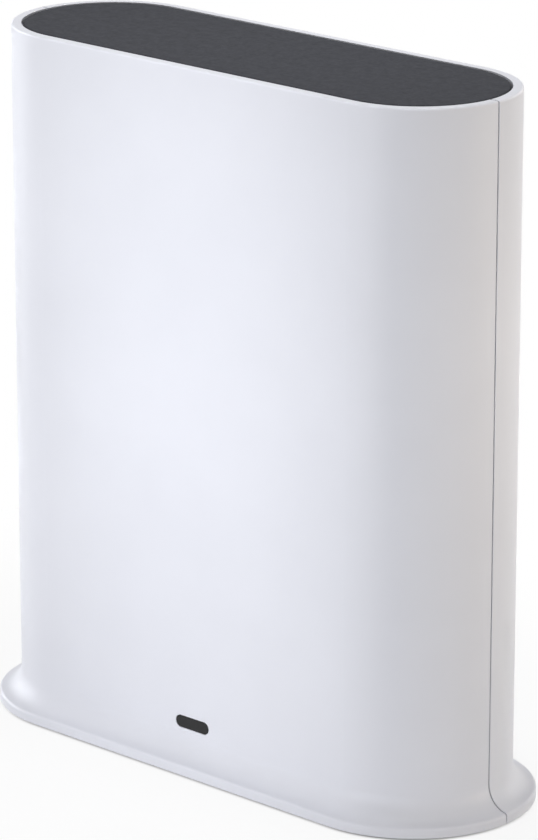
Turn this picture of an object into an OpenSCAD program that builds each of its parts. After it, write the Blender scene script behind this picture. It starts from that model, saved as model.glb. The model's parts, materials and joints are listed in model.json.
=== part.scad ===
// Base station of a wireless camera set: a two-part housing with a flared foot round one upright board.
// Millimetres. The origin is the middle of the footprint on the table, +Z is up and the front faces -Y.

/* [Housing] */
// Height from the table to the top of the rim
height = 170; // [155:1:200]
// Width across the two rounded ends
body_w = 143.5; // [138:0.5:170]
// Depth from front to back, which is also the diameter of the rounded ends
body_d = 47.4; // [46:0.2:54]
// Wall of the two shells, seen as the rim round the top panel
wall = 2.4; // [2.2:0.1:3]
// Rounding of the rim's outer edge
rim_edge_r = 0.5; // [0.2:0.1:1]
// Open line between the two shells
seam_gap = 0.45; // [0.1:0.05:0.6]
// Thickness of the tongue that closes the seam from inside
tongue_t = 0.9; // [0.6:0.1:1.2]
// Reach of the tongue into the rear shell
tongue_reach = 1.6; // [1:0.1:2]
// Clearance between fixed pieces that slide into one another
fit_gap = 0.15; // [0.1:0.05:0.25]

/* [Foot] */
// Reach of the foot beyond the upright sides
flare = 5.5; // [4:0.1:6]
// Radius of the hollow sweep from the sides to the foot
flare_r = 5.9; // [5.5:0.1:8]
// Rounding of the foot's upper edge
foot_edge_r = 0.8; // [0.5:0.1:1.6]
// Height of the foot's upright edge
foot_edge_h = 1.6; // [1:0.1:2.5]
// Height of the shells' lower edge above the table
foot_lift = 0.6; // [0.4:0.1:1]

/* [Base] */
// Thickness of the base plate
base_t = 1.8; // [1.6:0.1:2]
// Width of the shells' lower edge, left outside the base plate
base_lip = 2.4; // [2.2:0.1:3]
// Width of the rubber foot ring
ring_w = 3.2; // [2:0.1:3.6]
// Thickness of the rubber foot ring
ring_t = 1.4; // [1.2:0.1:1.6]
// Distance of the foot ring from the base plate's edge
ring_inset = 0.9; // [0.6:0.1:1.2]
// Width of one air slot in the base
vent_w = 2; // [1.5:0.1:3]
// Length of one air slot, front to back
vent_l = 24; // [10:1:30]
// Distance from one air slot to the next
vent_pitch = 5; // [4:0.5:6]
// Number of air slots
vent_count = 13; // [3:2:13]
// Distance of the base screws from the middle, along the width
base_screw_x = 40; // [36:0.5:42]

/* [Top panel] */
// Thickness of the top panel
panel_t = 2; // [1.6:0.1:2.6]
// Gap round the top panel
panel_gap = 0.45; // [0.1:0.05:0.5]
// Depth of the panel's face below the rim
panel_drop = 0; // [0:0.05:1]
// Rounding of the panel's edge
panel_edge_r = 0.6; // [0.2:0.1:0.8]
// Width of the ledge that carries the panel
ledge_w = 1.6; // [1.2:0.1:2]
// Thickness of that ledge
ledge_t = 2.2; // [1.6:0.1:3]
// Width of one of the panel's hooks
hook_w = 9; // [6:0.5:12]
// Thickness of one of the panel's hooks
hook_t = 1.4; // [1:0.1:1.8]
// Distance between hooks along the width
hook_pitch = 34; // [25:1:38]

/* [Shell clips] */
// Length of one clip along the seam
clip_l = 10; // [6:0.5:14]
// Thickness of one clip
clip_t = 1.7; // [1.2:0.1:2]
// Reach of one clip past the seam
clip_reach = 5; // [4:0.1:5.2]
// Height of the lowest clip
clip_z = 40; // [30:1:50]
// Distance between clips up the seam
clip_pitch = 50; // [40:1:55]

/* [Status light] */
// Width of the window
light_w = 10.4; // [8:0.1:14]
// Height of the window
light_h = 2.8; // [2.2:0.1:3.6]
// Height of the window's middle above the top of the flare
light_rise = 2.6; // [1.8:0.1:4]
// Thickness of the guide's flange behind the front wall
guide_flange_t = 1.2; // [0.8:0.1:2]
// Width of the guide's flange round the window
guide_flange_w = 2.5; // [1.5:0.1:4]
// Gap between the guide and the light source
guide_gap = 0.4; // [0.2:0.1:1]

/* [Board] */
// Width of the main board
board_w = 108; // [104:0.5:112]
// Height of the main board's lower edge
board_z = 7; // [6:0.1:7.5]
// Gap between the main board's upper edge and the antenna carrier above it
carrier_gap = 6; // [5:0.5:9]
// Rounding of the main board's corners
board_corner_r = 2; // [1:0.1:3]
// Thickness of the main board
board_t = 1.6; // [1.2:0.1:2]
// Room between the board and the rear wall, for the sockets
standoff = 15.3; // [15:0.1:17]
// Diameter of a screw's shank
screw_d = 2.6; // [2:0.1:3]
// Diameter of a screw's head
screw_head_d = 5; // [4.4:0.1:5.4]
// Height of a screw's head
screw_head_h = 1.4; // [1:0.1:1.8]
// Diameter of the bosses that take the screws
boss_d = 6.4; // [5.6:0.1:7]
// Length of screw in a boss
screw_bite = 8; // [5:0.5:10]

/* [Heat sink] */
// Width of the heat sink
sink_w = 62; // [54:0.5:64]
// Length of the heat sink up the board
sink_h = 58; // [52:0.5:62]
// Thickness of its base
sink_t = 2; // [1.6:0.1:3]
// Length of its fins
fin_l = 10; // [6:0.5:12]
// Thickness of one fin
fin_t = 1.2; // [0.8:0.1:1.6]
// Number of fins
fin_count = 11; // [7:1:13]
// Side of the processor's square package
chip_w = 17; // [13:0.5:21]
// Thickness of the processor's package
chip_t = 1.2; // [0.8:0.1:1.4]
// Thickness of the thermal pad
pad_t = 0.8; // [0.5:0.1:1.2]

/* [Antennas] */
// Width of the carrier plate
carrier_w = 122; // [118:0.5:126]
// Height of the carrier plate
carrier_h = 24; // [22:0.5:25]
// Distance from the ledge under the top panel down to the carrier plate
carrier_drop = 5.6; // [4:0.1:8]
// Thickness of an antenna board
antenna_t = 0.8; // [0.6:0.1:1]
// Diameter of an antenna lead
lead_d = 1.2; // [0.8:0.1:1.3]

/* [Sockets and buttons] */
// Height of the row of sockets
port_z = 30; // [29:0.5:33]
// Depth of the recess round the sockets
recess_depth = 1; // [0.6:0.1:1.2]
// Length of that recess
recess_w = 86; // [84:0.5:90]
// Height of that recess
recess_h = 20; // [19:0.5:21]
// Gap between a socket and the rear wall
port_gap = 0.25; // [0.15:0.05:0.4]
// Diameter of the sync button
sync_d = 8; // [7:0.1:8.6]
// Travel of the sync button
sync_travel = 0.8; // [0.4:0.1:0.9]
// Height of the sync button above the floor of the recess
sync_proud = 0.7; // [0.5:0.1:1]
// Clearance round a moving button or stem
slide_gap = 0.1; // [0.05:0.01:0.15]
// Diameter of the reset pinhole
pinhole_d = 1.8; // [1.4:0.1:2]
// Travel of the reset switch
reset_travel = 0.5; // [0.2:0.1:0.6]
// Bore of the power jack
power_bore_d = 6.3; // [6:0.1:6.5]
// Diameter of the power jack's centre pin
power_pin_d = 2; // [1.6:0.1:2.5]

/* [Hidden] */
$fn = 72;
weld = 0.5;

// Housing section, as radius from the spine line against height
body_r = body_d / 2;
spine = (body_w - body_d) / 2;
inner_r = body_r - wall;
foot_r = body_r + flare;
edge_z = foot_lift + foot_edge_h;
sweep_r = body_r + flare_r;
sweep_reach = flare_r + foot_edge_r;
sweep_side = sweep_reach - flare;
sweep_z = edge_z + sqrt(sweep_reach * sweep_reach - sweep_side * sweep_side);
light_z = sweep_z + light_rise;
touch_r = foot_r - foot_edge_r + foot_edge_r * sweep_side / sweep_reach;
base_top = foot_lift + base_t;
base_r = foot_r - base_lip - fit_gap;
ring_r = base_r - ring_inset - ring_w;
ledge_top = height - panel_drop - panel_t;
ledge_low = ledge_top - ledge_t;
ledge_r = inner_r - ledge_w;
panel_r = inner_r - panel_gap;

// Seam between the shells
seam_inset = 0.1;
tongue_r = inner_r + seam_inset;
tongue_low = sweep_z;
tongue_top = height - 2 * rim_edge_r;
seam_root = 1;
wall_bite = wall / 3;
clip_count = 3;
clip_clear = 0.9;
clip_r = inner_r - clip_clear;
clip_root = 6;
clip_back = 2 * seam_gap;
barb_l = 2;
barb_out = 0.3;

// Planes through the depth, front to back
board_rear = inner_r - standoff;
board_front = board_rear - board_t;
port_face = body_r - recess_depth;
port_len = port_face - board_rear;

// Fasteners
pilot_gap = 0.05;
pilot_d = screw_d + 2 * pilot_gap;
hole_gap = 0.2;
hole_d = screw_d + 2 * hole_gap;
boss_bite = 1;
base_boss_y = ring_r - screw_head_d / 2 - 3 * fit_gap - weld;
base_boss_h = 13;
web_t = 2;
cone_h = 1.2;
head_edge_r = 0.5;
drive_w = screw_d / 4;

// Board layout, down from the ledge under the top panel
carrier_z = ledge_low - carrier_drop - carrier_h / 2;
board_top = carrier_z - carrier_h / 2 - carrier_gap;
board_h = board_top - board_z;
board_screw_in = 5;
board_screw_x = board_w / 2 - board_screw_in;
board_screw_z = [board_z + board_screw_in, board_top - board_screw_in];
sink_room = chip_t + pad_t;
sink_margin = 17;
sink_z = board_top - sink_margin - sink_h / 2;
pad_inset = 1;
pilot_share = 0.8;
leg_d = 6;
leg_x = sink_w / 2 - leg_d / 2;
leg_z = sink_h / 2 - leg_d / 2;
shield_w = 17;
shield_h = 40;
shield_depth = 2.6;
shield_t = 0.4;
shield_corner_r = 1;
shield_x = (sink_w / 2 + board_w / 2) / 2;
radio_w = 8;
radio_t = 1;
memory_w = 9;
memory_gap = 4.5;
memory_x = chip_w / 2 + memory_gap + memory_w / 2;
memory_h = 13;
flash_w = 8;
flash_h = 6;
small_chip_t = 1;
led_w = 3.2;
led_h = 1.6;
led_t = 0.8;

// Antennas and their leads
carrier_corner_r = 3;
carrier_rib = 2.5;
carrier_rib_t = 1.6;
antenna_corner_r = 1;
feed_slot = 1.2;
feed_slot_in = 3;
side_antenna_w = 38;
side_antenna_h = 13;
side_antenna_in = 2;
side_antenna_x = carrier_w / 2 - side_antenna_w / 2 - side_antenna_in;
mid_antenna_w = 24;
mid_antenna_h = 17;
carrier_screw_x = (mid_antenna_w / 2 + side_antenna_x - side_antenna_w / 2) / 2;
antenna_front = board_front - antenna_t;
lead_gap = 0.05;
lead_y = antenna_front - lead_d / 2 - lead_gap;
bend_r = 3;
plug_side = 3.2;
plug_depth = board_front - lead_y + lead_d;
side_lead_x = shield_x - 4 * bend_r;
side_plug_z = sink_z + shield_h / 2 + 3 * plug_side;
mid_lead_x = 3 * bend_r;
mid_plug_z = sink_z + sink_h / 2 + plug_side;
lead_turn_z = board_top + carrier_gap / 2;

// Sockets, left to right as seen from behind
sync_x = 33;
reset_x = 23;
usb_x = 10;
eth_x = -10;
power_x = -31;

// Network socket
eth_w = 15.4;
eth_h = 13;
eth_shield_t = 0.3;
eth_depth = 13;
plug_w = 11.9;
plug_h = 6.9;
plug_low = -2.1;
plug_top = plug_low + plug_h;
latch_w = 6.2;
latch_h = 1.7;
key_w = 3.4;
key_h = 1.2;
wire_count = 8;
wire_pitch = 1.02;
wire_w = 0.45;
wire_t = 0.3;
wire_drop = 2.4;
wire_fold_back = 2.5;
wire_tip_back = 1.5;
transformer = [16, 12, 6];
row_two = 21;

// USB socket
usb_w = 13.1;
usb_h = 5.7;
usb_t = 0.4;
usb_block = 5;
tongue_w = 11.2;
tongue_h = 1.8;
tongue_y = 1.25;
usb_set_back = 1.5;
usb_wire_w = 1;
usb_wire_t = 0.2;
usb_wire_x = [-3.5, -1, 1, 3.5];

// Power socket
power_w = 9;
power_collar_d = 8.4;
power_collar_gap = 0.4;
power_depth = 9.5;
power_pin_back = 0.8;
inductor = [10, 10, 5];
inductor_corner_r = 2.5;
capacitor_d = 8;
capacitor_h = 11.5;
capacitor_edge_r = 0.8;
capacitor_base_w = 8.6;
capacitor_base_t = 1.2;
crimp_z = 2.4;
crimp_r = 0.5;
capacitor_count = 3;
capacitor_pitch = 11;
capacitor_gap = 3.2;
capacitor_x = power_x - power_w / 2 - capacitor_gap - capacitor_base_w / 2;
capacitor_rise = 15;
capacitor_z = port_z + capacitor_rise;

// Buttons
sync_edge_r = 0.5;
sync_flange_w = 1;
sync_flange_d = sync_d + 2 * sync_flange_w;
sync_flange_t = 1;
sync_flange_gap = 0.3;
sync_plunger_d = 3;
switch_w = 6;
switch_t = 3.8;
stem_d = 3.4;
stem_up = 3.2;
stem_in = 1.6;
reset_w = 4.6;
reset_t = 3.5;
reset_stem_d = 2.4;
reset_stem_up = 1.5;
reset_tube_d = 4.6;
reset_tube_gap = 1;

// Places a shape drawn flat so that it grows towards the rear, its second axis up
module to_rear(x, y, z) {
    translate([x, y, z]) rotate([90, 0, 180]) children();
}

// Places a shape drawn flat so that it grows towards the front, its second axis up
module to_front(x, y, z) {
    translate([x, y, z]) rotate([90, 0, 0]) children();
}

// Flat pill, w long and h high
module pill(w, h) {
    square([w - h, h], center = true);
    for (side = [-1, 1]) translate([side * (w - h) / 2, 0]) circle(d = h);
}

// Flat rectangle with rounded corners
module rounded(w, h, r) {
    square([w - 2 * r, h], center = true);
    square([w, h - 2 * r], center = true);
    for (x = [-1, 1], y = [-1, 1]) translate([x * (w / 2 - r), y * (h / 2 - r)]) circle(r);
}

// Half section of a disc or plate, r out from its axis and t thick, its upper edge rounded
module edge_section(r, t, edge) {
    square([r, t - edge]);
    square([r - edge, t]);
    translate([r - edge, t - edge]) circle(edge);
}

// Sweeps a section round the front half of the housing's outline
module half_sweep() {
    for (side = [-1, 1])
        translate([side * spine, 0, 0])
            rotate([0, 0, side > 0 ? -90 : 180]) rotate_extrude(angle = 90) children();
    rotate([90, 0, 90]) linear_extrude(2 * spine, center = true) mirror([1, 0]) children();
}

// Sweeps a section all the way round the housing's outline
module full_sweep() {
    half_sweep() children();
    mirror([0, 1, 0]) half_sweep() children();
}

// Repeats a piece at both ends of the width
module both_ends() {
    children();
    mirror([1, 0, 0]) children();
}

// Outer outline of the housing's section
module outer_section() {
    translate([0, foot_lift]) square([body_r, height - rim_edge_r - foot_lift]);
    translate([0, foot_lift]) square([body_r - rim_edge_r, height - foot_lift]);
    translate([body_r - rim_edge_r, height - rim_edge_r]) circle(rim_edge_r);
    difference() {
        translate([0, foot_lift]) square([touch_r, sweep_z - foot_lift]);
        translate([sweep_r, sweep_z]) circle(flare_r);
    }
    translate([foot_r - foot_edge_r, edge_z]) circle(foot_edge_r);
    translate([0, foot_lift]) square([foot_r, foot_edge_h]);
}

// Hollow of the housing's section, with the step that the base plate sits in
module inner_section() {
    square([inner_r, height + weld]);
    difference() {
        square([base_r + fit_gap, sweep_z]);
        translate([sweep_r, sweep_z]) circle(flare_r + wall);
    }
    square([base_r + fit_gap, base_top]);
}

// Wall of the housing with the ledge for the top panel
module shell_section() {
    difference() {
        outer_section();
        inner_section();
    }
    translate([ledge_r, ledge_low]) square([ledge_w + weld, ledge_t]);
}

// Front half of the housing's wall, cut back from the seam
module half_shell() {
    difference() {
        half_sweep() shell_section();
        translate([-body_w, -seam_gap / 2, 0]) cube([2 * body_w, body_d, height + weld]);
    }
}

// Arc of a ring at the right-hand seam, between two distances from the seam's plane
module seam_arc(r, t, low, top, front, rear) {
    translate([spine, 0, 0])
        rotate([0, 0, -asin(front / r)])
            rotate_extrude(angle = asin(front / r) + asin(rear / r))
                translate([r, low]) square([t, top - low]);
}

// Boss that takes one base screw, with the web that ties it to the wall
module base_boss(side) {
    translate([side * base_screw_x, -base_boss_y, base_top]) cylinder(d = boss_d, h = base_boss_h);
    translate([side * base_screw_x - web_t / 2, -inner_r - wall_bite, sweep_z])
        cube([web_t, inner_r + wall_bite - base_boss_y, base_top + base_boss_h - sweep_z]);
}

// Hole for one base screw
module base_pilot(side) {
    translate([side * base_screw_x, -base_boss_y, base_top - weld])
        cylinder(d = pilot_d, h = screw_bite + 2 * weld);
}

// One clip of the front shell, at the right-hand seam
module clip(z) {
    translate([spine + clip_r - clip_t, 0, z - clip_l / 2]) {
        translate([0, -clip_root, 0])
            cube([clip_t + clip_clear + wall_bite, clip_root - clip_back, clip_l]);
        translate([0, -weld - clip_back, 0]) cube([clip_t, clip_reach + weld + clip_back, clip_l]);
        translate([clip_t / 2, clip_reach - weld - barb_l, 0])
            cube([clip_t / 2 + clip_clear + barb_out, barb_l, clip_l]);
    }
}

// Pocket in the rear shell's wall that one clip's barb springs into
module clip_pocket(z) {
    translate([spine + clip_r, clip_reach - weld - barb_l - fit_gap, z - clip_l / 2 - fit_gap])
        cube([clip_clear + barb_out + fit_gap, barb_l + 2 * fit_gap, clip_l + 2 * fit_gap]);
}

module front_shell() {
    color("#eeeef4") difference() {
        union() {
            half_shell();
            for (side = [-1, 1]) base_boss(side);
            both_ends() {
                seam_arc(tongue_r, tongue_t, tongue_low, tongue_top, seam_root, tongue_reach);
                for (i = [0 : clip_count - 1]) clip(clip_z + i * clip_pitch);
            }
        }
        for (side = [-1, 1]) base_pilot(side);
        to_front(0, -inner_r + weld, light_z)
            linear_extrude(wall + 2 * weld) pill(light_w + 2 * fit_gap, light_h + 2 * fit_gap);
    }
}

// Boss on the rear wall that takes one screw of the board or the antenna carrier
module rear_boss(x, z) {
    to_rear(x, board_rear, z) cylinder(d = boss_d, h = standoff + boss_bite);
}

// Hole for one such screw
module rear_pilot(x, z) {
    to_rear(x, board_rear - weld, z) cylinder(d = pilot_d, h = screw_bite + 2 * weld);
}

// Calls its child at each place that the rear shell takes a screw from the front
module at_rear_screws() {
    for (side = [-1, 1]) {
        for (z = board_screw_z) translate([side * board_screw_x, 0, z]) children();
        translate([side * carrier_screw_x, 0, carrier_z]) children();
    }
}

module rear_shell() {
    color("#eeeef4") difference() {
        union() {
            mirror([0, 1, 0]) {
                half_shell();
                for (side = [-1, 1]) base_boss(side);
            }
            at_rear_screws() rear_boss(0, 0);
            to_rear(reset_x, board_rear + reset_t + reset_stem_up + reset_tube_gap, port_z)
                cylinder(d = reset_tube_d, h = standoff - reset_t - reset_stem_up - reset_tube_gap + weld);
        }
        mirror([0, 1, 0]) for (side = [-1, 1]) base_pilot(side);
        at_rear_screws() rear_pilot(0, 0);
        both_ends() {
            seam_arc(inner_r - weld, tongue_t + weld + seam_inset + fit_gap, tongue_low - fit_gap,
                tongue_top + fit_gap, seam_root, tongue_reach + fit_gap);
            for (i = [0 : clip_count - 1]) clip_pocket(clip_z + i * clip_pitch);
        }
        to_rear(0, port_face, port_z) linear_extrude(recess_depth + weld) pill(recess_w, recess_h);
        port_cuts();
    }
}

// Openings in the rear wall for the sockets and buttons
module port_cuts() {
    cut = wall + 2 * weld;
    eth_room = 2 * (eth_shield_t + port_gap);
    to_rear(eth_x, inner_r - weld, port_z)
        linear_extrude(cut) square([eth_w + eth_room, eth_h + eth_room], center = true);
    to_rear(usb_x, inner_r - weld, port_z)
        linear_extrude(cut) square([usb_w + 2 * port_gap, usb_h + 2 * port_gap], center = true);
    to_rear(power_x, inner_r - weld, port_z) cylinder(d = power_collar_d + 2 * port_gap, h = cut);
    to_rear(sync_x, inner_r - weld, port_z) cylinder(d = sync_d + 2 * slide_gap, h = cut);
    to_rear(reset_x, board_rear, port_z) cylinder(d = pinhole_d, h = standoff + cut);
}

module top_panel() {
    color("#4d4e53") {
        translate([0, 0, ledge_top]) full_sweep() edge_section(panel_r, panel_t, panel_edge_r);
        for (side = [0, 1]) mirror([0, side, 0]) for (i = [-1 : 1]) panel_hook(i * hook_pitch);
    }
}

// One hook under the top panel, along the front, its barb below the ledge
module panel_hook(x) {
    leg = ledge_t + fit_gap + hook_t;
    translate([x - hook_w / 2, -ledge_r + fit_gap, ledge_top - leg]) {
        cube([hook_w, hook_t, leg + weld]);
        translate([0, -ledge_w / 2, 0]) cube([hook_w, ledge_w / 2 + hook_t / 2, hook_t]);
    }
}

module base_plate() {
    color("#c9cacd") difference() {
        translate([0, 0, foot_lift]) full_sweep() square([base_r, base_t]);
        full_sweep() translate([ring_r - fit_gap, 0]) square([ring_w + 2 * fit_gap, ring_t]);
        for (i = [0 : vent_count - 1])
            translate([(i - (vent_count - 1) / 2) * vent_pitch, 0, 0])
                linear_extrude(base_top + weld) rotate([0, 0, 90]) pill(vent_l, vent_w);
        at_base_screws() {
            translate([0, 0, -weld]) cylinder(d = hole_d, h = base_t + 2 * weld);
            cylinder(d1 = screw_head_d + 2 * fit_gap, d2 = hole_d, h = cone_h);
        }
    }
}

module foot_ring() {
    color("#8f9093") full_sweep() translate([ring_r, 0]) square([ring_w, ring_t]);
}

// Calls its child at each base screw, at the underside of the base plate
module at_base_screws() {
    for (x = [-1, 1], y = [-1, 1]) translate([x * base_screw_x, y * base_boss_y, foot_lift]) children();
}

// Cross-shaped drive recess, cut down from its top
module cross_recess(depth) {
    for (turn = [0, 90])
        rotate([0, 0, turn])
            translate([-screw_d / 2, -drive_w / 2, -depth]) cube([screw_d, drive_w, depth + weld]);
}

// Screw with a pan head on its seat at zero, its shank running down
module pan_screw(length) {
    difference() {
        rotate_extrude() edge_section(screw_head_d / 2, screw_head_h, head_edge_r);
        translate([0, 0, screw_head_h]) cross_recess(screw_head_h / 2);
    }
    translate([0, 0, -length]) cylinder(d = screw_d, h = length + weld);
}

module base_screws() {
    color("#9a9ca0") at_base_screws() difference() {
        union() {
            cylinder(d1 = screw_head_d, d2 = screw_d, h = cone_h);
            cylinder(d = screw_d, h = base_t + screw_bite);
        }
        mirror([0, 0, 1]) cross_recess(cone_h / 2);
    }
}

module status_window() {
    color("#2a2b2e") to_front(0, -inner_r, light_z) linear_extrude(wall) pill(light_w, light_h);
}

module light_guide() {
    bar = board_front - led_t - guide_gap + inner_r;
    color("#e6eef2") to_front(0, board_front - led_t - guide_gap, light_z) {
        linear_extrude(bar) pill(light_w - 2 * fit_gap, light_h - 2 * fit_gap);
        translate([0, 0, bar - guide_flange_t])
            linear_extrude(guide_flange_t) pill(light_w + 2 * guide_flange_w, light_h + guide_flange_w);
    }
}

module status_led() {
    color("#f4f0d8") front_chip(0, light_z, led_w, led_h, led_t);
}

module main_board() {
    color("#1f5a3c") difference() {
        to_front(0, board_rear, board_z + board_h / 2)
            linear_extrude(board_t) rounded(board_w, board_h, board_corner_r);
        for (x = [-1, 1], z = board_screw_z)
            to_front(x * board_screw_x, board_rear + weld, z) cylinder(d = hole_d, h = board_t + 2 * weld);
        at_sink_legs() to_front(0, board_rear + weld, 0) cylinder(d = hole_d, h = board_t + 2 * weld);
    }
}

module board_screws() {
    color("#9a9ca0") for (x = [-1, 1], z = board_screw_z)
        to_front(x * board_screw_x, board_front, z) pan_screw(board_t + screw_bite);
}

// Flat square package on the front of the board
module front_chip(x, z, w, h, t) {
    to_front(x, board_front, z) linear_extrude(t) square([w, h], center = true);
}

module processor() {
    color("#232427") front_chip(0, sink_z, chip_w, chip_w, chip_t);
}

module memory_chips() {
    color("#232427") for (side = [-1, 1])
        front_chip(side * memory_x, sink_z, memory_w, memory_h, small_chip_t);
}

module flash_chip() {
    color("#232427") front_chip(memory_x, sink_z - sink_h / 2 - flash_h, flash_w, flash_h, small_chip_t);
}

module thermal_pad() {
    color("#7f93b0") to_front(0, board_front - chip_t, sink_z)
        linear_extrude(pad_t) square(chip_w - 2 * pad_inset, center = true);
}

// Calls its child at each leg of the heat sink
module at_sink_legs() {
    for (x = [-1, 1], z = [-1, 1]) translate([x * leg_x, 0, sink_z + z * leg_z]) children();
}

module heat_sink() {
    fin_pitch = (sink_w - fin_t) / (fin_count - 1);
    sink_rear = board_front - sink_room;
    color("#b9bcc0") difference() {
        union() {
            to_front(0, sink_rear, sink_z) linear_extrude(sink_t) square([sink_w, sink_h], center = true);
            for (i = [0 : fin_count - 1])
                translate([-sink_w / 2 + i * fin_pitch, sink_rear - sink_t - fin_l, sink_z - sink_h / 2])
                    cube([fin_t, fin_l + weld, sink_h]);
            at_sink_legs() to_front(0, board_front, 0) cylinder(d = leg_d, h = sink_room + weld);
        }
        at_sink_legs()
            to_front(0, board_front + weld, 0)
                cylinder(d = pilot_d, h = weld + sink_room + sink_t * pilot_share);
    }
}

module heat_sink_screws() {
    color("#9a9ca0") at_sink_legs() to_rear(0, board_rear, 0) pan_screw(board_t + sink_room + sink_t / 2);
}

// Folded sheet-metal can over one radio, open towards the board
module radio_shield(side) {
    color("#a9acb0") to_front(side * shield_x, board_front, sink_z) difference() {
        linear_extrude(shield_depth) rounded(shield_w, shield_h, shield_corner_r);
        translate([0, 0, -weld])
            linear_extrude(shield_depth - shield_t + weld)
                rounded(shield_w - 2 * shield_t, shield_h - 2 * shield_t, shield_corner_r - shield_t);
    }
}

module radio_shield_left() {
    radio_shield(-1);
}

module radio_shield_right() {
    radio_shield(1);
}

module radio_chip_left() {
    color("#232427") front_chip(-shield_x, sink_z, radio_w, radio_w, radio_t);
}

module radio_chip_right() {
    color("#232427") front_chip(shield_x, sink_z, radio_w, radio_w, radio_t);
}

module antenna_carrier() {
    color("#3a3b3e") difference() {
        union() {
            to_front(0, board_rear, carrier_z)
                linear_extrude(board_t) rounded(carrier_w, carrier_h, carrier_corner_r);
            to_rear(0, board_rear - weld, carrier_z) linear_extrude(carrier_rib + weld) difference() {
                rounded(carrier_w, carrier_h, carrier_corner_r);
                rounded(carrier_w - 2 * carrier_rib_t, carrier_h - 2 * carrier_rib_t,
                    carrier_corner_r - carrier_rib_t);
            }
        }
        for (side = [-1, 1])
            to_front(side * carrier_screw_x, board_rear + weld, carrier_z)
                cylinder(d = hole_d, h = board_t + 2 * weld);
    }
}

module carrier_screws() {
    color("#9a9ca0") for (side = [-1, 1])
        to_front(side * carrier_screw_x, board_front, carrier_z) pan_screw(board_t + screw_bite);
}

// Thin antenna stuck to the front of the carrier, its slot open at one end so that its upper edge is an arm
module antenna(x, w, h) {
    color("#c8a24a") to_front(x, board_front, carrier_z) linear_extrude(antenna_t) difference() {
        rounded(w, h, antenna_corner_r);
        translate([-w / 2 + feed_slot_in, h / 2 - feed_slot_in - feed_slot]) square([w, feed_slot]);
    }
}

module antenna_left() {
    antenna(-side_antenna_x, side_antenna_w, side_antenna_h);
}

module antenna_centre() {
    antenna(0, mid_antenna_w, mid_antenna_h);
}

module antenna_right() {
    antenna(side_antenna_x, side_antenna_w, side_antenna_h);
}

// Quarter turn of a lead, round an axis from front to back
module lead_bend(start) {
    rotate([90, 0, 0])
        rotate([0, 0, start]) rotate_extrude(angle = 90) translate([bend_r, 0]) circle(d = lead_d);
}

// Lead that runs down from an antenna, steps outwards round two bends and runs down to its plug
module lead(from_x, from_z, to_x, to_z) {
    turn = lead_turn_z;
    color("#2b2c2f") translate([0, lead_y, 0]) {
        translate([from_x, 0, turn + bend_r]) cylinder(d = lead_d, h = from_z - turn - bend_r);
        translate([from_x + bend_r, 0, turn + bend_r]) lead_bend(180);
        translate([from_x + bend_r, 0, turn])
            rotate([0, 90, 0]) cylinder(d = lead_d, h = to_x - from_x - 2 * bend_r);
        translate([to_x - bend_r, 0, turn - bend_r]) lead_bend(0);
        translate([to_x, 0, to_z]) cylinder(d = lead_d, h = turn - bend_r - to_z);
    }
}

module cable_left() {
    mirror([1, 0, 0]) cable_right();
}

module cable_centre() {
    mirror([1, 0, 0]) lead(-mid_lead_x, carrier_z, 0, mid_plug_z + plug_side / 2);
}

module cable_right() {
    lead(side_lead_x, carrier_z, shield_x, side_plug_z + plug_side / 2);
}

module cable_plugs() {
    color("#c9a94f") {
        for (side = [-1, 1]) front_chip(side * shield_x, side_plug_z, plug_side, plug_side, plug_depth);
        front_chip(0, mid_plug_z, plug_side, plug_side, plug_depth);
    }
}

// Space that a network plug goes into, with the slot for its latch below
module plug_outline() {
    translate([-plug_w / 2, plug_low]) square([plug_w, plug_h]);
    translate([-latch_w / 2, plug_low - latch_h]) square([latch_w, latch_h + weld]);
    translate([-key_w / 2, plug_low - latch_h - key_h]) square([key_w, key_h + weld]);
}

module ethernet_jack() {
    color("#26272a") to_rear(eth_x, board_rear, port_z) difference() {
        linear_extrude(port_len) square([eth_w, eth_h], center = true);
        translate([0, 0, port_len - eth_depth]) linear_extrude(eth_depth + weld) plug_outline();
    }
}

module ethernet_shield() {
    color("#b4b7bb") to_rear(eth_x, board_rear, port_z) linear_extrude(port_len) difference() {
        square([eth_w + 2 * eth_shield_t, eth_h + 2 * eth_shield_t], center = true);
        square([eth_w, eth_h], center = true);
    }
}

// Spring wires that lie under the socket's upper wall, fold near its mouth and slope back in
module ethernet_contacts() {
    deep = port_len - eth_depth;
    fold = port_len - wire_fold_back;
    tip = deep + wire_tip_back;
    color("#d9b45a") to_rear(eth_x, board_rear, port_z)
        for (i = [0 : wire_count - 1])
            translate([(i - (wire_count - 1) / 2) * wire_pitch + wire_w / 2, 0, 0])
                rotate([0, -90, 0]) linear_extrude(wire_w) polygon([
                    [deep, plug_top], [fold, plug_top], [fold, plug_top - wire_t],
                    [tip, plug_top - wire_drop], [tip, plug_top - wire_drop + wire_t],
                    [fold - 4 * wire_t, plug_top - wire_t], [deep, plug_top - wire_t]
                ]);
}

// Block on the rear of the board
module rear_block(x, z, size) {
    to_rear(x, board_rear, z) linear_extrude(size.z) square([size.x, size.y], center = true);
}

module ethernet_transformer() {
    color("#232427") rear_block(eth_x, port_z + row_two, transformer);
}

module usb_shell() {
    color("#b4b7bb") to_rear(usb_x, board_rear, port_z) linear_extrude(port_len) difference() {
        square([usb_w, usb_h], center = true);
        square([usb_w - 2 * usb_t, usb_h - 2 * usb_t], center = true);
    }
}

module usb_insert() {
    color("#e9e9ea") to_rear(usb_x, board_rear, port_z) {
        linear_extrude(usb_block) square([usb_w - 2 * usb_t, usb_h - 2 * usb_t], center = true);
        translate([0, tongue_y, usb_block - weld])
            linear_extrude(port_len - usb_block - usb_set_back + weld)
                square([tongue_w, tongue_h], center = true);
    }
}

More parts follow.
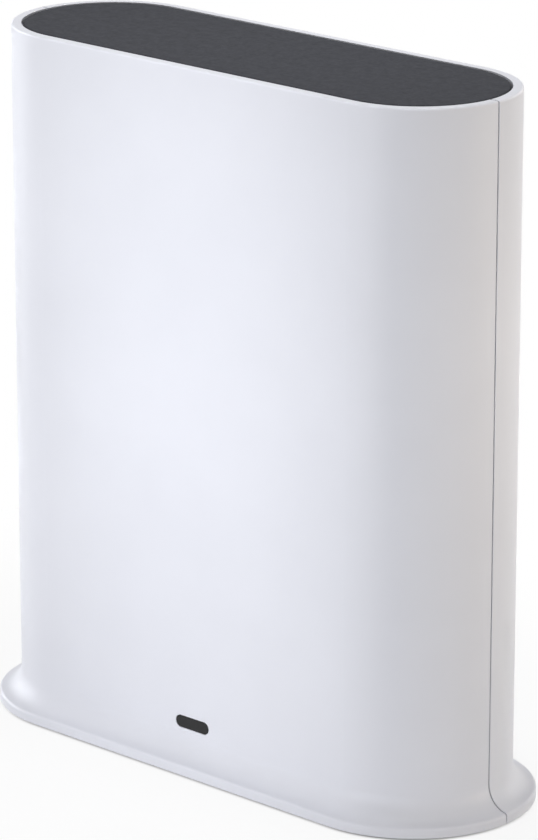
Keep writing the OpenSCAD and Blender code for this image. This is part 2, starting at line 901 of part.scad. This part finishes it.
module usb_contacts() {
    color("#d9b45a") to_rear(usb_x, board_rear, port_z)
        for (x = usb_wire_x)
            translate([x - usb_wire_w / 2, tongue_y - tongue_h / 2 - usb_wire_t, usb_block])
                cube([usb_wire_w, usb_wire_t, port_len - usb_block - 2 * usb_set_back]);
}

module power_jack() {
    square_len = standoff - power_collar_gap;
    color("#26272a") to_rear(power_x, board_rear, port_z) difference() {
        union() {
            linear_extrude(square_len) square([power_w, power_w], center = true);
            translate([0, 0, square_len - weld])
                cylinder(d = power_collar_d, h = port_len - square_len + weld);
        }
        translate([0, 0, port_len - power_depth]) cylinder(d = power_bore_d, h = power_depth + weld);
    }
}

module power_pin() {
    pin_len = power_depth - power_pin_back - power_pin_d / 2;
    color("#c4c6c9") to_rear(power_x, board_rear + port_len - power_depth, port_z) {
        cylinder(d = power_pin_d, h = pin_len);
        translate([0, 0, pin_len]) sphere(d = power_pin_d);
    }
}

module power_inductor() {
    color("#4a4b4e") to_rear(usb_x, board_rear, port_z + row_two)
        linear_extrude(inductor.z) rounded(inductor.x, inductor.y, inductor_corner_r);
}

// One capacitor: a can with a crimped groove near its foot, on a square base
module capacitor() {
    linear_extrude(capacitor_base_t) square([capacitor_base_w, capacitor_base_w], center = true);
    rotate_extrude() difference() {
        edge_section(capacitor_d / 2, capacitor_h, capacitor_edge_r);
        translate([capacitor_d / 2, crimp_z]) circle(crimp_r);
    }
}

module capacitors() {
    color("#3b4a66") for (i = [0 : capacitor_count - 1])
        to_rear(capacitor_x, board_rear, capacitor_z + i * capacitor_pitch) capacitor();
}

module sync_button() {
    flange_low = inner_r - sync_flange_gap - sync_flange_t;
    color("#d7d8dc") to_rear(sync_x, 0, port_z) {
        translate([0, 0, flange_low])
            rotate_extrude() edge_section(sync_d / 2, port_face + sync_proud - flange_low, sync_edge_r);
        translate([0, 0, flange_low]) cylinder(d = sync_flange_d, h = sync_flange_t);
        translate([0, 0, board_rear + switch_t + stem_up])
            cylinder(d = sync_plunger_d, h = flange_low - board_rear - switch_t - stem_up + weld);
    }
}

// Push switch soldered to the rear of the board, with the well its stem slides in
module push_switch(x, w, t, well_d, well) {
    color("#33353a") to_rear(x, board_rear, port_z) difference() {
        linear_extrude(t) square([w, w], center = true);
        translate([0, 0, t - well]) cylinder(d = well_d, h = well + weld);
    }
}

module sync_switch() {
    push_switch(sync_x, switch_w, switch_t, stem_d + 2 * slide_gap, stem_in + sync_travel + slide_gap);
}

module sync_stem() {
    color("#5a5b5f") to_rear(sync_x, board_rear + switch_t - stem_in, port_z)
        cylinder(d = stem_d, h = stem_in + stem_up);
}

module reset_switch() {
    push_switch(reset_x, reset_w, reset_t, reset_stem_d + 2 * slide_gap, stem_in + reset_travel + slide_gap);
}

module reset_stem() {
    color("#5a5b5f") to_rear(reset_x, board_rear + reset_t - stem_in, port_z)
        cylinder(d = reset_stem_d, h = stem_in + reset_stem_up);
}

front_shell();
rear_shell();
top_panel();
base_plate();
foot_ring();
base_screws();
status_window();
light_guide();
status_led();
main_board();
board_screws();
processor();
memory_chips();
flash_chip();
thermal_pad();
heat_sink();
heat_sink_screws();
radio_shield_left();
radio_shield_right();
radio_chip_left();
radio_chip_right();
antenna_carrier();
carrier_screws();
antenna_left();
antenna_centre();
antenna_right();
cable_left();
cable_centre();
cable_right();
cable_plugs();
ethernet_jack();
ethernet_shield();
ethernet_contacts();
ethernet_transformer();
usb_shell();
usb_insert();
usb_contacts();
power_jack();
power_pin();
power_inductor();
capacitors();
sync_button();
sync_switch();
sync_stem();
reset_switch();
reset_stem();
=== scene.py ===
"""Looks of the camera base station: a finish for every piece, a plain studio and the photo's camera."""
import json
from math import cos, radians, sin

import bpy
from mathutils import Matrix, Vector


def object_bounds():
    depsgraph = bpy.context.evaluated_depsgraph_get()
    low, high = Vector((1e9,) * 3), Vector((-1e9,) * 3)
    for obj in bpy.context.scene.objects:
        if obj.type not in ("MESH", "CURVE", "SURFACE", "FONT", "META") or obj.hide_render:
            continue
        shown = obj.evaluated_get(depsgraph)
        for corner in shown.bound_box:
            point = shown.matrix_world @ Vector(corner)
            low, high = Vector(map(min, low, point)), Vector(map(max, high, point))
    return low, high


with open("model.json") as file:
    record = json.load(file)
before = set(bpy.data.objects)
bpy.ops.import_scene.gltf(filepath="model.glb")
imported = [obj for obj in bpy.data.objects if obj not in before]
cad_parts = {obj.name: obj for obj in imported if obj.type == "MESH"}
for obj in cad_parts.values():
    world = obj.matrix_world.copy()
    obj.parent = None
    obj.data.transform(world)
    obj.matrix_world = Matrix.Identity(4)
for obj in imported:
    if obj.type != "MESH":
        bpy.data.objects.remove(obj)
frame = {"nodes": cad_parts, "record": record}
cad_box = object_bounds()

MM_PER_METRE = 1000.0
WHITE_HEX = "#FFFFFF"

# Camera, in pixels of the photo's frame, millimetres and degrees
FRAME_HEIGHT_PX = 840
SENSOR_MM = 36.0
FOCAL_PX = 4672.7
CAMERA_PLACE_MM = (715.4, -768.9, 408.7)
CAMERA_AZIMUTH = 42.825
CAMERA_ELEVATION = 17.311
# Nearest and farthest distance that the camera shows, in metres
CAMERA_CLIP = (0.05, 20.0)

# Floor, in metres
FLOOR_SIDE = 6.0
FLOOR_DROP = 0.00005
FLOOR_HEX = "#F4F4F4"
# Share of plain white that the camera sees in the floor beside the foot
FLOOR_WHITE_SHARE = 0.88
# Distances from the foot's middle line between which that share rises to one
FLOOR_FADE = (0.04, 0.15)
# Width under the foot's edge over which it falls to nought
FLOOR_SHADE = 0.0015

# Light, in metres, watts and degrees
SKY_HEX = "#FAF7F3"
SKY_STRENGTH = 0.36
COOL_LAMP = "#F2F5FA"
WARM_LAMP = "#FFF4E4"
LAMPS = [
    # Narrow beam that lays a soft highlight down the middle of the front
    dict(name="key_front", place=(-0.122, -0.7, 0.115), target=(-0.002, -0.02, 0.11),
         width=0.1, height=0.2, spread=16.0, power=0.042, colour=COOL_LAMP),
    # Long low box that lifts the foot's sweep and its edge
    dict(name="low_front", place=(0.45, -1.15, 0.06), target=(0.0, 0.0, 0.06),
         width=0.9, height=0.1, spread=180.0, power=2.2, colour=COOL_LAMP),
    # Large box that lights the left-hand end and grazes the front
    dict(name="soft_left", place=(-1.1, -0.1, 0.25), target=(0.0, 0.0, 0.09),
         width=0.7, height=0.9, spread=180.0, power=8.0, colour=COOL_LAMP),
    # Narrow warm beam that brightens the right-hand end behind the seam
    dict(name="rear_right", place=(1.1, 0.6, 0.2), target=(0.05, 0.0, 0.11),
         width=0.2, height=0.1, spread=17.0, power=0.058, colour=WARM_LAMP),
    # Wide box that lights the back and its sockets
    dict(name="soft_rear", place=(0.2, 1.2, 0.3), target=(0.0, 0.0, 0.09),
         width=0.7, height=0.5, spread=180.0, power=1.8, colour=COOL_LAMP),
    # Box overhead for the rim and the top panel
    dict(name="top_strip", place=(0.0, 0.0, 0.6), target=(0.0, 0.0, 0.17),
         width=0.2, height=0.1, spread=40.0, power=0.064, colour=COOL_LAMP),
]

# Patterns of the finishes
# Part of its range that most of a noise pattern lies in
NOISE_RANGE = (0.3, 0.7)
FULL_RANGE = (0.0, 1.0)
CLOUD_DETAIL = 3.0
GRAIN_DETAIL = 4.0
STREAK_DETAIL = 5.0
# How strongly grain and streaks show as relief
GRAIN_STRENGTH = 0.5
STREAK_STRENGTH = 0.3
STREAK_DEPTH_MM = 0.02


def linear(hex_colour):
    """Turns an sRGB hex value into the linear colour that shaders take."""
    parts = [int(hex_colour[i:i + 2], 16) / 255 for i in (1, 3, 5)]
    return tuple(c / 12.92 if c <= 0.04045 else ((c + 0.055) / 1.055) ** 2.4 for c in parts) + (1.0,)


def add(tree, kind, sockets=(), **settings):
    """Adds a node; each socket takes a value, or a link from another node's output."""
    node = tree.nodes.new(kind)
    for name, value in settings.items():
        setattr(node, name, value)
    for name, value in dict(sockets).items():
        if isinstance(value, bpy.types.NodeSocket):
            tree.links.new(value, node.inputs[name])
        else:
            node.inputs[name].default_value = value
    return node


def new_material(name):
    """Empty material with its output; returns the material, its tree and the output."""
    material = bpy.data.materials.new(name)
    material.use_nodes = True
    tree = material.node_tree
    tree.nodes.clear()
    return material, tree, add(tree, "ShaderNodeOutputMaterial")


def noise(tree, place, size_mm, detail):
    """Noise pattern whose features are this many millimetres across."""
    pattern = add(tree, "ShaderNodeTexNoise", {
        "Vector": place, "Scale": MM_PER_METRE / size_mm, "Detail": detail})
    return pattern.outputs["Fac"]


def two_tone(tree, pattern, dark, light, ends):
    """Colour that goes from dark to light as the pattern goes from one end to the other."""
    ramp = add(tree, "ShaderNodeValToRGB", {"Fac": pattern})
    for stop, end, colour in zip(ramp.color_ramp.elements, ends, (dark, light)):
        stop.position = end
        stop.color = linear(colour)
    return ramp.outputs["Color"]


def roughness(tree, pattern, ends):
    """Roughness that the pattern moves between two values."""
    spread = add(tree, "ShaderNodeMapRange", {
        "Value": pattern, "From Min": NOISE_RANGE[0], "From Max": NOISE_RANGE[1],
        "To Min": ends[0], "To Max": ends[1]})
    return spread.outputs["Result"]


def relief(tree, pattern, strength, depth_mm):
    """Surface normal that follows the pattern's hills and hollows."""
    bump = add(tree, "ShaderNodeBump", {
        "Height": pattern, "Strength": strength, "Distance": depth_mm / MM_PER_METRE})
    return bump.outputs["Normal"]


def moulded(name, dark, light, cloud_mm, grain_mm, grain_depth_mm, rough, ior=1.5, specular=0.5, clear=0.0):
    """Moulded or cast plastic or rubber: a slow drift of colour from the melt, and the grain of the tool."""
    material, tree, output = new_material(name)
    place = add(tree, "ShaderNodeTexCoord").outputs["Object"]
    cloud = noise(tree, place, cloud_mm, CLOUD_DETAIL)
    grain = noise(tree, place, grain_mm, GRAIN_DETAIL)
    shader = add(tree, "ShaderNodeBsdfPrincipled", {
        "Base Color": two_tone(tree, cloud, dark, light, NOISE_RANGE),
        "Roughness": roughness(tree, grain, rough),
        "Normal": relief(tree, grain, GRAIN_STRENGTH, grain_depth_mm),
        "IOR": ior, "Specular IOR Level": specular, "Transmission Weight": clear})
    tree.links.new(shader.outputs["BSDF"], output.inputs["Surface"])
    return material


def metal(name, dark, light, streak_mm, stretch, rough):
    """Sheet, drawn or extruded metal: fine streaks along its working direction vary colour and gloss."""
    material, tree, output = new_material(name)
    place = add(tree, "ShaderNodeTexCoord").outputs["Object"]
    drawn = add(tree, "ShaderNodeMapping", {"Vector": place, "Scale": stretch}).outputs["Vector"]
    streak = noise(tree, drawn, streak_mm, STREAK_DETAIL)
    shader = add(tree, "ShaderNodeBsdfPrincipled", {
        "Base Color": two_tone(tree, streak, dark, light, FULL_RANGE),
        "Roughness": roughness(tree, streak, rough),
        "Normal": relief(tree, streak, STREAK_STRENGTH, STREAK_DEPTH_MM),
        "Metallic": 1.0})
    tree.links.new(shader.outputs["BSDF"], output.inputs["Surface"])
    return material


# Finishes by material slot. The grain of a moulding tool is a tenth of a millimetre across, too fine to show
# at this distance, so every grain below is drawn four to twelve times coarser.
finishes = {}
# Injection-moulded off a finely spark-eroded tool: even satin white, a little cool, with soft wide highlights
finishes["shell_white"] = moulded(
    "abs_moulded_satin_white", "#E5E6ED", "#EAEBF2",
    cloud_mm=45, grain_mm=0.6, grain_depth_mm=0.006, rough=(0.38, 0.46), ior=1.54)
# Injection-moulded off a coarser eroded tool: dark grey that scatters light, faintly mottled, with no sheen
finishes["panel_dark"] = moulded(
    "polycarbonate_moulded_matt_grey", "#3C3D42", "#44454A",
    cloud_mm=2.5, grain_mm=0.9, grain_depth_mm=0.05, rough=(0.7, 0.85), ior=1.58, specular=0.08)
# Injection-moulded with the shells' satin in a middle grey: the underside reads as a separate piece
finishes["base_grey"] = moulded(
    "abs_moulded_satin_grey", "#C2C3C6", "#CACBCE",
    cloud_mm=30, grain_mm=0.6, grain_depth_mm=0.01, rough=(0.45, 0.55), ior=1.54)
# Compression-moulded rubber: dull and slightly cloudy, with hardly any highlight
finishes["rubber_grey"] = moulded(
    "rubber_moulded_grey", "#6F7073", "#7A7B7E",
    cloud_mm=6, grain_mm=0.8, grain_depth_mm=0.03, rough=(0.7, 0.85), ior=1.52)
# Cast and polished acrylic with a smoke tint: near black, with a crisp reflection
finishes["window_smoked"] = moulded(
    "acrylic_polished_smoked", "#0C0D0F", "#121315",
    cloud_mm=8, grain_mm=1.2, grain_depth_mm=0.002, rough=(0.1, 0.16), ior=1.49, specular=0.4)
# Polished acrylic without tint: lets the light source through, with bright edges
finishes["guide_clear"] = moulded(
    "acrylic_polished_clear", "#DDE6EA", "#E6EEF2",
    cloud_mm=8, grain_mm=1.2, grain_depth_mm=0.002, rough=(0.08, 0.14), ior=1.49, clear=0.9)
# Cast resin over phosphor: pale yellow when unlit, with the gloss of a poured drop
finishes["led_white"] = moulded(
    "resin_cast_phosphor", "#F0EBD2", "#F6F1DC",
    cloud_mm=1, grain_mm=0.5, grain_depth_mm=0.002, rough=(0.15, 0.25))
# Screen-printed solder mask over copper and glass cloth: glossy deep green, cloudy where copper lies under it
finishes["board_green"] = moulded(
    "board_green_solder_mask", "#1B5437", "#23663F",
    cloud_mm=4, grain_mm=0.8, grain_depth_mm=0.02, rough=(0.28, 0.4))
# Transfer-moulded epoxy: soft black with a fine sandy grain
finishes["package_black"] = moulded(
    "epoxy_moulded_black", "#222326", "#2A2B2E",
    cloud_mm=2, grain_mm=0.4, grain_depth_mm=0.01, rough=(0.5, 0.65))
# Calendered silicone sheet: chalky blue, soft and dull
finishes["pad_blue"] = moulded(
    "silicone_calendered_blue", "#7287A6", "#8297B4",
    cloud_mm=3, grain_mm=0.7, grain_depth_mm=0.03, rough=(0.6, 0.75), ior=1.41)
# Injection-moulded nylon: charcoal with a low even sheen
finishes["carrier_black"] = moulded(
    "nylon_moulded_charcoal", "#303134", "#38393C",
    cloud_mm=6, grain_mm=0.7, grain_depth_mm=0.02, rough=(0.5, 0.6))
# Extruded jacket: smooth black with a narrow highlight along the lead
finishes["lead_black"] = moulded(
    "pvc_extruded_black", "#242527", "#2C2D30",
    cloud_mm=3, grain_mm=0.6, grain_depth_mm=0.01, rough=(0.35, 0.45))
# Injection-moulded glass-filled nylon: deep black, a little uneven in gloss where fibres meet the surface
finishes["socket_black"] = moulded(
    "nylon_moulded_black", "#1E1F21", "#27282A",
    cloud_mm=4, grain_mm=0.6, grain_depth_mm=0.015, rough=(0.45, 0.55))
# Injection-moulded nylon without pigment: milky white with a low sheen
finishes["insert_white"] = moulded(
    "nylon_moulded_white", "#E2E2E3", "#EAEAEB",
    cloud_mm=4, grain_mm=0.6, grain_depth_mm=0.01, rough=(0.4, 0.5))
# Shrunk sleeve: slate blue with a tight glossy film
finishes["can_blue"] = moulded(
    "pvc_shrunk_slate", "#2F3E58", "#3A4A66",
    cloud_mm=3, grain_mm=0.8, grain_depth_mm=0.01, rough=(0.25, 0.35))
# Injection-moulded off a finer tool than the shells: light grey, a little glossier where fingers press it
finishes["button_grey"] = moulded(
    "abs_moulded_button_grey", "#C8C9CD", "#D0D1D5",
    cloud_mm=12, grain_mm=0.6, grain_depth_mm=0.006, rough=(0.35, 0.45), ior=1.54)
# Extruded along the fins: pale grey with long faint die lines
finishes["sink_aluminium"] = metal(
    "aluminium_extruded", "#A9ACB0", "#C2C5C9", streak_mm=0.6, stretch=(1, 1, 0.05), rough=(0.35, 0.5))
# Pressed from rolled sheet and nickel-plated: bright grey with short rolling streaks
finishes["steel_plated"] = metal(
    "steel_pressed_nickel", "#A5A7AA", "#BDBFC2", streak_mm=0.5, stretch=(1, 0.2, 1), rough=(0.22, 0.34))
# Stamped bronze with a gold flash: warm yellow and shiny
finishes["contact_gold"] = metal(
    "bronze_stamped_gold", "#C79A45", "#DDB25E", streak_mm=0.4, stretch=(1, 0.2, 1), rough=(0.2, 0.3))
# Etched copper foil: brownish orange, dulled by handling
finishes["antenna_copper"] = metal(
    "copper_etched", "#A9772F", "#C08C3E", streak_mm=0.8, stretch=(0.2, 1, 1), rough=(0.35, 0.5))

for part in frame["record"]["subparts"]:
    shown = frame["nodes"][part["node"]]
    shown.data.materials.clear()
    shown.data.materials.append(finishes[part["material_slot"]])


def seen_directly(tree):
    """One for rays that show a surface to the eye, straight or by gloss or clear plastic; else nought."""
    path = add(tree, "ShaderNodeLightPath")
    seen = path.outputs["Is Camera Ray"]
    for ray in ("Is Glossy Ray", "Is Transmission Ray"):
        seen = add(tree, "ShaderNodeMath", {0: seen, 1: path.outputs[ray]}, operation="MAXIMUM").outputs[0]
    return seen


def from_middle_line(tree, half_length):
    """Distance of a point of the floor from the middle line of the pill-shaped foot."""
    place = add(tree, "ShaderNodeTexCoord").outputs["Object"]
    folded = add(tree, "ShaderNodeVectorMath", {0: place}, operation="ABSOLUTE")
    past_end = add(tree, "ShaderNodeVectorMath", {
        0: folded.outputs["Vector"], 1: (half_length, 0.0, 0.0)}, operation="SUBTRACT")
    beside = add(tree, "ShaderNodeVectorMath", {
        0: past_end.outputs["Vector"], 1: (0.0, 0.0, 0.0)}, operation="MAXIMUM")
    reach = add(tree, "ShaderNodeVectorMath", {0: beside.outputs["Vector"]}, operation="LENGTH")
    return reach.outputs["Value"]


def floor_whiteness(tree):
    """Share of plain white that the eye sees in the floor: none under the foot, and all of it far away."""
    half_width, half_depth = cad_box[1][0], cad_box[1][1]
    reach = from_middle_line(tree, half_width - half_depth)
    clear_of_foot = add(tree, "ShaderNodeMapRange", {
        "Value": reach, "From Min": half_depth - FLOOR_SHADE, "From Max": half_depth})
    far_share = add(tree, "ShaderNodeMapRange", {
        "Value": reach, "From Min": FLOOR_FADE[0], "From Max": FLOOR_FADE[1],
        "To Min": FLOOR_WHITE_SHARE, "To Max": 1.0}, interpolation_type="SMOOTHSTEP")
    share = add(tree, "ShaderNodeMath", {
        0: clear_of_foot.outputs["Result"], 1: far_share.outputs["Result"]}, operation="MULTIPLY")
    seen_share = add(tree, "ShaderNodeMath", {
        0: seen_directly(tree), 1: share.outputs[0]}, operation="MULTIPLY")
    return seen_share.outputs[0]


def floor():
    """Pale floor just under the foot; the camera sees it fade to white, with the object's shadow on it."""
    mesh = bpy.data.meshes.new("floor")
    half = FLOOR_SIDE / 2
    corners = [(x, y, -FLOOR_DROP) for x, y in ((-half, -half), (half, -half), (half, half), (-half, half))]
    mesh.from_pydata(corners, [], [(0, 1, 2, 3)])
    plane = bpy.data.objects.new("floor", mesh)
    bpy.context.scene.collection.objects.link(plane)
    material, tree, output = new_material("paper_matt_white")
    paper = add(tree, "ShaderNodeBsdfDiffuse", {"Color": linear(FLOOR_HEX)})
    white = add(tree, "ShaderNodeEmission", {"Color": linear(WHITE_HEX), "Strength": 1.0})
    mix = add(tree, "ShaderNodeMixShader", {
        0: floor_whiteness(tree), 1: paper.outputs["BSDF"], 2: white.outputs["Emission"]})
    tree.links.new(mix.outputs["Shader"], output.inputs["Surface"])
    mesh.materials.append(material)


def sky():
    """Soft light from all round; the camera, metal and glass see plain white."""
    world = bpy.data.worlds.new("studio")
    world.use_nodes = True
    tree = world.node_tree
    tree.nodes.clear()
    output = add(tree, "ShaderNodeOutputWorld")
    soft = add(tree, "ShaderNodeBackground", {"Color": linear(SKY_HEX), "Strength": SKY_STRENGTH})
    white = add(tree, "ShaderNodeBackground", {"Color": linear(WHITE_HEX), "Strength": 1.0})
    mix = add(tree, "ShaderNodeMixShader", {
        0: seen_directly(tree), 1: soft.outputs["Background"], 2: white.outputs["Background"]})
    tree.links.new(mix.outputs["Shader"], output.inputs["Surface"])
    bpy.context.scene.world = world


def lamp(name, place, target, width, height, spread, power, colour):
    """Soft box that points at its target and stays out of the picture itself."""
    light = bpy.data.lights.new(name, "AREA")
    light.shape = "RECTANGLE"
    light.size = width
    light.size_y = height
    light.spread = radians(spread)
    light.energy = power
    light.color = linear(colour)[:3]
    box = bpy.data.objects.new(name, light)
    box.location = place
    box.rotation_mode = "QUATERNION"
    box.rotation_quaternion = (Vector(target) - Vector(place)).to_track_quat("-Z", "Y")
    box.visible_camera = False
    bpy.context.scene.collection.objects.link(box)


def camera():
    """Camera at the photo's place, which looks down a little at the front and the right-hand end."""
    turn, rise = radians(CAMERA_AZIMUTH), radians(CAMERA_ELEVATION)
    back = Vector((sin(turn) * cos(rise), -cos(turn) * cos(rise), sin(rise)))
    right = Vector((cos(turn), sin(turn), 0.0))
    up = back.cross(right)
    facing = Matrix((right, up, back)).transposed().to_4x4()
    data = bpy.data.cameras.new("photo_camera")
    data.sensor_width = SENSOR_MM
    data.lens = FOCAL_PX * SENSOR_MM / FRAME_HEIGHT_PX
    data.clip_start, data.clip_end = CAMERA_CLIP
    view = bpy.data.objects.new("photo_camera", data)
    view.matrix_world = Matrix.Translation(Vector(CAMERA_PLACE_MM) / MM_PER_METRE) @ facing
    bpy.context.scene.collection.objects.link(view)
    bpy.context.scene.camera = view


camera()
floor()
sky()
for settings in LAMPS:
    lamp(**settings)
bpy.context.scene.view_settings.view_transform = "Standard"
